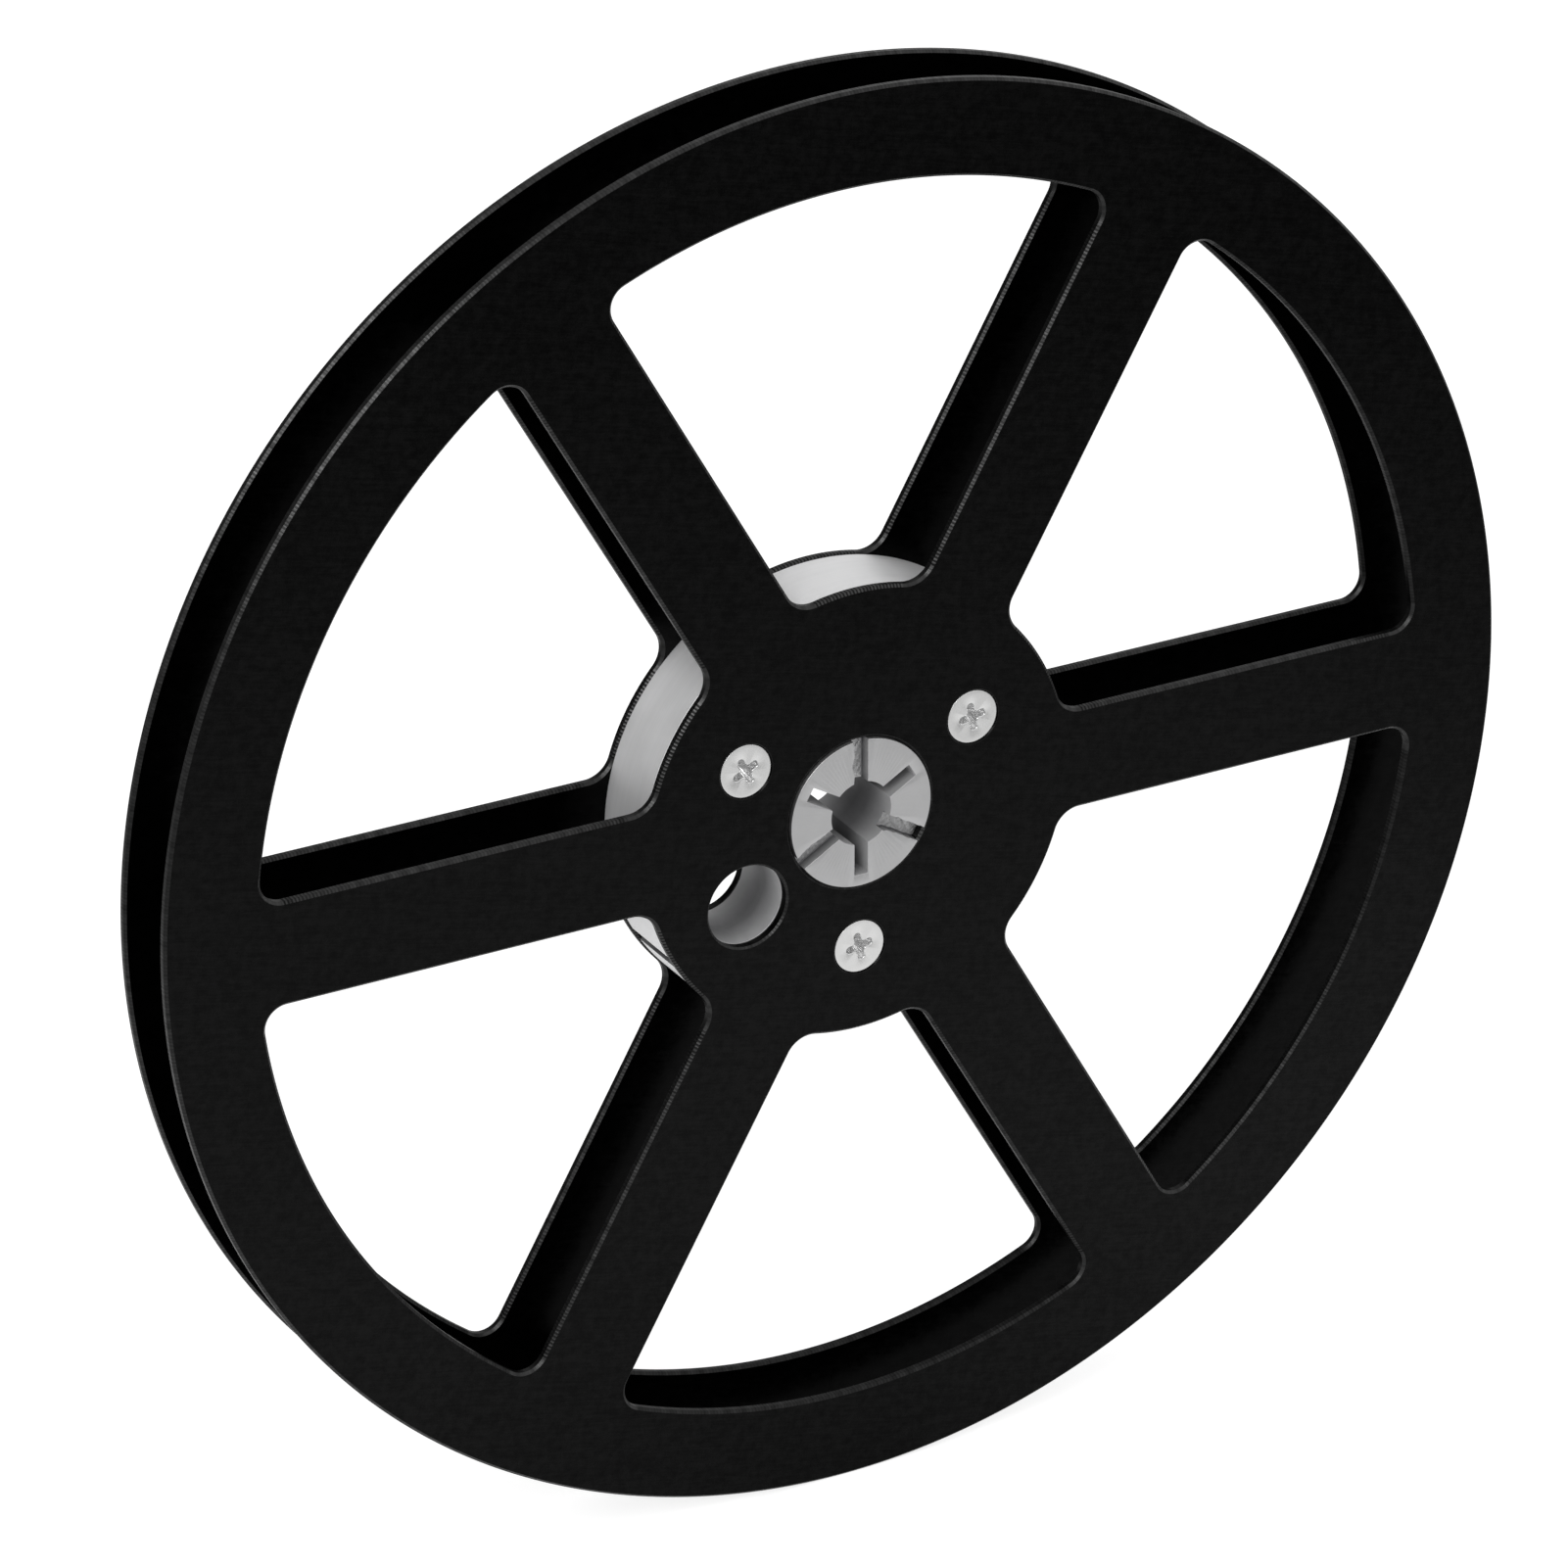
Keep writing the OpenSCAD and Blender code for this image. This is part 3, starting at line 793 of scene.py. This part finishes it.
def make_hub():
    mats = [MAT_DRUM, MAT_BOSS, MAT_WALL, MAT_CUT, MAT_HOLE, MAT_GROOVE]
    rim, r_rim, steps = 0.10, 0.06, 5
    half = []                      # (r, z) from the bore side over the boss to the middle of the drum
    half.append((2.0, BOSS_TOP))
    for i in range(steps + 1):
        a = math.radians(90 - 90 * i / steps)
        half.append((BOSS_R - r_rim + r_rim * math.cos(a), BOSS_TOP - r_rim + r_rim * math.sin(a)))
    half.append((BOSS_R, HUB_H))
    for i in range(4 + 1):
        a = math.radians(90 - 90 * i / 4)
        half.append((HUB_R - rim + rim * math.cos(a), HUB_H - rim + rim * math.sin(a)))
    section = half + [(r, -z) for r, z in reversed(half)]
    index = []
    for k in range(len(section)):
        (r0, z0), (r1, z1) = section[k], section[(k + 1) % len(section)]
        if abs(z0 + z1) < 2 * HUB_H - 0.02 and min(r0, r1) > HUB_R - 0.2:
            index.append(0)
        elif min(r0, r1) < BOSS_R + 0.01:
            index.append(1)
        else:
            index.append(1)
    verts, faces, mi = lathe(section, 400, index)
    body = raw_object("hub_blank", verts, faces, mats, mi)
    cutters = []
    # front grooves as the photograph shows them, rear ones alike but different; +y of a groove lies to the
    # left of its outward direction
    shape = {90: (([], [(6.2, 0.26, 0.85), (9.2, 0.22, 0.35)]), (0.008, 0.035), (0.05, 0.11)),
             210: (([(7.2, 0.24, 1.1), (4.6, 0.10, 0.4)], []), (0.035, 0.008), (0.12, 0.05)),
             330: (([(4.0, 0.24, 0.40)], [(5.3, 0.09, 0.45), (7.7, 0.08, 0.5)]), (0.030, 0.030), (0.05, 0.09))}
    for k, a in enumerate((90, 210, 330)):
        cutters.append(groove_cutter(a, 1, 11 + 10 * k, mats, *shape[a]))
        cutters.append(groove_cutter(a, -1, 67 + 10 * k, mats, ([(5.0 + k, 0.14, 0.6)], [(7.5 - k, 0.12, 0.7)]),
                                     (0.03, 0.02), (0.09, 0.07)))
    cutters.append(opening_cutter(mats))
    th = math.radians(THREAD_ANGLE)
    r = THREAD_R
    cutters.append(cylinder_cutter("thread_hole", THREAD_AT * math.cos(th), THREAD_AT * math.sin(th),
                                   [(r + 0.35, -HUB_H - 0.3), (r, -HUB_H + 0.05), (r, HUB_H - 0.05), (r + 0.35, HUB_H + 0.3)],
                                   144, mats, 4))
    # tape slot with its lead-in ramp
    c, s = math.cos(math.radians(TAPE_SLOT_ANGLE)), math.sin(math.radians(TAPE_SLOT_ANGLE))
    w = TAPE_SLOT_W / 2
    slot = [(THREAD_AT + 2, w), (THREAD_AT + 2, -w), (HUB_R - RAMP_DEPTH, -w)]
    for i in range(1, 9):
        f = i / 8
        slot.append((HUB_R - RAMP_DEPTH * (1 - f) ** 1.4, -w - RAMP_LEN * f))
    slot += [(HUB_R + 1, -w - 2 * RAMP_LEN), (HUB_R + 1, w)]
    rings = [[(x * c - y * s, x * s + y * c, z) for x, y in slot] for z in (-HUB_H - 0.5, HUB_H + 0.5)]
    verts, faces = loft(rings)
    cutters.append(raw_object("tape_slot", verts, faces, mats, 2))
    for a in SCREW_ANGLES:
        ar = math.radians(a)
        for side in (1, -1):
            sec = [(0.02, 0.2), (TAP_R, 0.5), (TAP_R, HUB_H - 0.42), (2.2, HUB_H), (2.5, HUB_H + 0.3)]
            cutters.append(cylinder_cutter("screw_hole", SCREW_AT * math.cos(ar), SCREW_AT * math.sin(ar),
                                           [(q, z * side) for q, z in sec], 64, mats, 2))
    ob = cut(body, cutters, "hub_core")
    ob.data.polygons.foreach_set("use_smooth", [True] * len(ob.data.polygons))
    ob.data.set_sharp_from_angle(angle=math.radians(32))
    w = ob.modifiers.new("even_normals", "WEIGHTED_NORMAL")
    w.keep_sharp = True
    w.weight = 60
    even_triangles(ob)
    return ob


# --------------------------------------------------------------------- screws

def cross_outline(w, length, f):
    """Outline of a cross recess: arms of half width w and reach length with round ends, their inner corners rounded by f."""
    out = []
    for k in range(4):
        c, s = math.cos(k * PI / 2), math.sin(k * PI / 2)
        pts = arc_points(length - w, 0, w, -90, 90, 10)
        pts += arc_points(w + f, w + f, f, 270, 180, 6)
        out += [(x * c - y * s, x * s + y * c) for x, y in pts]
    return out


def make_screw_template():
    """A countersunk screw under z = 0, with its cross recess along x and y."""
    mats = [MAT_SCREW, MAT_RECESS_SHADED]
    z0 = -HEAD_SINK
    prof = [(0.0, z0)]
    a_, b_ = 0.08, 0.06          # the head's rim is rolled over a little
    prof.append((1.0, z0))
    prof.append((HEAD_R - a_ - 0.35, z0))
    for i in range(7):
        t = math.radians(90 - 90 * i / 6)
        prof.append((HEAD_R - a_ + a_ * math.cos(t), z0 - b_ + b_ * math.sin(t)))
    prof.append((HEAD_R, z0 - HEAD_RIM))
    cone_end = z0 - HEAD_RIM - (HEAD_R - SHANK_R)
    prof.append((SHANK_R + 0.02, cone_end + 0.02))
    segs = 96
    rings = []
    for r, z in prof[1:]:
        rings.append([(r * math.cos(2 * PI * i / segs), r * math.sin(2 * PI * i / segs), z) for i in range(segs)])
    # the thread, cut 0.28 deep at a pitch of 0.6
    pitch, depth = 0.6, 0.28
    z = cone_end
    while z > -4.72:
        fade = min(1.0, (cone_end - z) / 0.5, (z + 4.78) / 0.3)
        ring = []
        for i in range(segs):
            f = (z / pitch + i / segs) % 1.0
            h = 1.0 - abs(2 * f - 1.0)
            h = min(1.0, max(0.0, (h - 0.12) / 0.7))
            r = SHANK_R - depth * (1 - h) * max(0.0, fade)
            ring.append((r * math.cos(2 * PI * i / segs), r * math.sin(2 * PI * i / segs), z))
        rings.append(ring)
        z -= 0.06
    for r, zz in ((1.45, -5.0), (0.6, -5.0)):
        rings.append([(r * math.cos(2 * PI * i / segs), r * math.sin(2 * PI * i / segs), zz) for i in range(segs)])
    verts, faces = loft(rings)
    body = raw_object("screw_blank", verts, faces, mats, 0)
    # recess
    lip = mouth_profile(z0, 0.12, 4)
    levels = []
    for g, z in reversed(lip):
        levels.append((z, 0.44 + g, 1.74 + g, max(0.12, 0.40 - g)))
    for d, w, ln, f in ((0.35, 0.42, 1.56, 0.38), (0.75, 0.39, 1.34, 0.36), (1.15, 0.35, 1.08, 0.30),
                        (1.5, 0.29, 0.76, 0.22), (1.8, 0.20, 0.44, 0.12), (2.0, 0.10, 0.20, 0.05)):
        levels.append((z0 - d, w, ln, f))
    rings = [[(x, y, z) for x, y in cross_outline(w, ln, f)] for z, w, ln, f in levels]
    verts, faces = loft(rings)
    recess = raw_object("recess", verts, faces, mats, 1)
    ob = cut(body, [recess], "screw_template")
    return ob


def make_screw_set(name, template, side):
    me = bpy.data.meshes.new(name)
    src = template.data
    co = np.zeros(len(src.vertices) * 3)
    src.vertices.foreach_get("co", co)
    co = co.reshape(-1, 3) / MM
    local = np.stack([co[:, 0], co[:, 2], -co[:, 1]], 1)       # back to the reel frame
    polys = [tuple(p.vertices) for p in src.polygons]
    mats = [p.material_index for p in src.polygons]
    verts, faces, index = [], [], []
    for k, a in enumerate(SCREW_ANGLES):
        t = math.radians(RECESS_TURN[k] if side > 0 else RECESS_TURN[k] + 41 * (k + 1))
        c, s = math.cos(t), math.sin(t)
        p = np.stack([local[:, 0] * c - local[:, 1] * s, local[:, 0] * s + local[:, 1] * c, local[:, 2]], 1)
        p[:, 0] += SCREW_AT * math.cos(math.radians(a))
        p[:, 1] += SCREW_AT * math.sin(math.radians(a))
        p[:, 2] = (p[:, 2] + HALF_W) * side
        k0 = len(verts)
        verts += [tuple(q) for q in p]
        for f in polys:
            g = tuple(k0 + i for i in f)
            faces.append(g if side > 0 else g[::-1])
        index += mats
    me.from_pydata(to_row(verts).tolist(), [], faces)
    for m in src.materials:
        me.materials.append(m)
    me.polygons.foreach_set("material_index", index)
    me.update()
    # the head's flat face is shaded flat, so that the recess leaves no smear on it
    me.polygons.foreach_set("use_smooth", [abs(p.normal.y) < 0.9995 for p in me.polygons])
    me.set_sharp_from_angle(angle=math.radians(38))
    me.update()
    ob = bpy.data.objects.new(name, me)
    bpy.context.scene.collection.objects.link(ob)
    even_triangles(ob)
    return ob


# --------------------------------------------------------------------- pieces

front = flange("front_flange_plate", 1)
rear = flange("rear_flange_plate", -1)
hub = make_hub()
template = make_screw_template()
front_screws = make_screw_set("front_screw_set", template, 1)
rear_screws = make_screw_set("rear_screw_set", template, -1)
old = template.data
bpy.data.objects.remove(template)
bpy.data.meshes.remove(old)

for piece, cad_node, slot_name in ((front, "front_flange", "flange"), (rear, "rear_flange", "flange"), (hub, "hub", "hub"),
                                   (front_screws, "front_screws", "screw"), (rear_screws, "rear_screws", "screw")):
    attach(piece, "root")
    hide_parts(cad_node)


# -------------------------------------------------------------- camera, studio

scene = bpy.context.scene
a, e, roll = math.radians(29.398), math.radians(25.414), math.radians(-0.0945)
right = np.array([math.cos(a), 0.0, math.sin(a)])
d = np.array([-math.sin(a) * math.cos(e), math.sin(e), math.cos(a) * math.cos(e)])
up = np.cross(d, right)
cx = math.cos(roll) * right + math.sin(roll) * up
cy = -math.sin(roll) * right + math.cos(roll) * up
flip = lambda v: Vector((v[0], -v[2], v[1]))
X, Y, Z = flip(cx), flip(cy), flip(d)
cam_data = bpy.data.cameras.new("photo_camera")
cam_data.lens = 163.14
cam_data.sensor_width = 36.0
cam_data.clip_start = 0.01
cam_data.clip_end = 100.0
cam = bpy.data.objects.new("photo_camera", cam_data)
scene.collection.objects.link(cam)
rot = Matrix((X, Y, Z)).transposed()
place = Vector((-0.374389, -0.652295, 0.358622)) * 0.99832 - 0.00009 * Y + 0.00003 * X
cam.matrix_world = Matrix.Translation(place) @ rot.to_4x4()
scene.camera = cam
scene.view_settings.view_transform = "Standard"
scene.view_settings.look = "None"

world = bpy.data.worlds.new("studio")
scene.world = world
world.use_nodes = True
nt = world.node_tree
nt.nodes.clear()
out = nt.nodes.new("ShaderNodeOutputWorld")
seen = node(nt, "ShaderNodeBackground")
seen.inputs["Color"].default_value = (1, 1, 1, 1)
seen.inputs["Strength"].default_value = 1.0
soft = node(nt, "ShaderNodeBackground")
gen = node(nt, "ShaderNodeTexCoord")


def toward(direction, power=None):
    """How far a ray points in a direction, as it is or raised to a power where it is positive."""
    dot = node(nt, "ShaderNodeVectorMath", operation="DOT_PRODUCT")
    dot.inputs[1].default_value = direction
    nt.links.new(gen.outputs["Generated"], dot.inputs[0])
    if power is None:
        return dot.outputs["Value"]
    return math_node(nt, "POWER", math_node(nt, "MAXIMUM", dot.outputs["Value"], 0.0), power)


# the room: a little brighter to the right and above, a pale floor behind, a darker corner behind on the left
level = remap(nt, toward((0.213, -0.045, 0.20)), 0.30, 0.94, -0.3, 0.3)
level = math_node(nt, "ADD", level, math_node(nt, "MULTIPLY", toward((0.0, 0.755, -0.656), 3.0), 0.22))
level = math_node(nt, "SUBTRACT", level, math_node(nt, "MULTIPLY", toward((-0.415, 0.79, 0.455), 4.0), 0.50))
nt.links.new(level, soft.inputs["Strength"])
soft.inputs["Color"].default_value = (1, 1, 1, 1)
path = node(nt, "ShaderNodeLightPath")
mix = node(nt, "ShaderNodeMixShader")
nt.links.new(path.outputs["Is Camera Ray"], mix.inputs["Fac"])
nt.links.new(soft.outputs[0], mix.inputs[1])
nt.links.new(seen.outputs[0], mix.inputs[2])
nt.links.new(mix.outputs[0], out.inputs["Surface"])


def area(name, direction, distance, size, power):
    """A soft box that faces the reel."""
    data = bpy.data.lights.new(name, "AREA")
    data.shape = "SQUARE"
    data.size = size
    data.energy = power
    ob = bpy.data.objects.new(name, data)
    scene.collection.objects.link(ob)
    v = Vector(direction).normalized()
    ob.location = v * distance
    ob.rotation_euler = v.to_track_quat("Z", "Y").to_euler()
    return ob


area("key", (-0.60, -0.55, 0.58), 1.1, 0.45, 4.5)

fm = bpy.data.materials.new("floor")
fm.use_nodes = True
nt = fm.node_tree
b = nt.nodes["Principled BSDF"]
b.inputs["Base Color"].default_value = (0.50, 0.50, 0.50, 1)
b.inputs["Roughness"].default_value = 0.9
b.inputs["Specular IOR Level"].default_value = 0.0
b.inputs["Emission Color"].default_value = (1, 1, 1, 1)
b.inputs["Emission Strength"].default_value = 0.75
fme = bpy.data.meshes.new("floor")
fz = -REEL_R * MM
fme.from_pydata([(-8, -8, fz), (8, -8, fz), (8, 8, fz), (-8, 8, fz)], [], [(0, 1, 2, 3)])
fme.materials.append(fm)
floor = bpy.data.objects.new("floor", fme)
scene.collection.objects.link(floor)
floor.visible_glossy = False

# a glowing plane seen only in reflections: a painted reflection of the lit pool of floor round the reel, darker right
# under the reel as painted shadow, falling off to the sides
gm = bpy.data.materials.new("floor_pool")
gm.use_nodes = True
nt = gm.node_tree
nt.nodes.clear()
out = nt.nodes.new("ShaderNodeOutputMaterial")
glow = nt.nodes.new("ShaderNodeEmission")
far = node(nt, "ShaderNodeVectorMath", operation="LENGTH")
nt.links.new(object_coords(nt), far.inputs[0])
pool = ramp(nt, remap(nt, far.outputs["Value"], 0.0, 1.0, 0.0, 1.0),
            [(0.0, 0.48), (0.03, 0.62), (0.05, 0.72), (0.10, 0.82), (0.16, 0.79), (0.24, 0.58), (0.31, 0.37), (0.40, 0.22), (0.60, 0.24), (1.0, 0.30)])
nt.links.new(pool, glow.inputs["Color"])
glow.inputs["Strength"].default_value = 1.0
nt.links.new(glow.outputs[0], out.inputs["Surface"])
gme = bpy.data.meshes.new("floor_pool")
gme.from_pydata([(-8, -8, 0), (8, -8, 0), (8, 8, 0), (-8, 8, 0)], [], [(0, 1, 2, 3)])
gme.materials.append(gm)
pool_ob = bpy.data.objects.new("floor_pool", gme)
scene.collection.objects.link(pool_ob)
pool_ob.location = (0.0, 0.0, fz - 0.0004)
pool_ob.visible_camera = False
pool_ob.visible_diffuse = False
pool_ob.visible_shadow = False

bpy.context.view_layer.update()
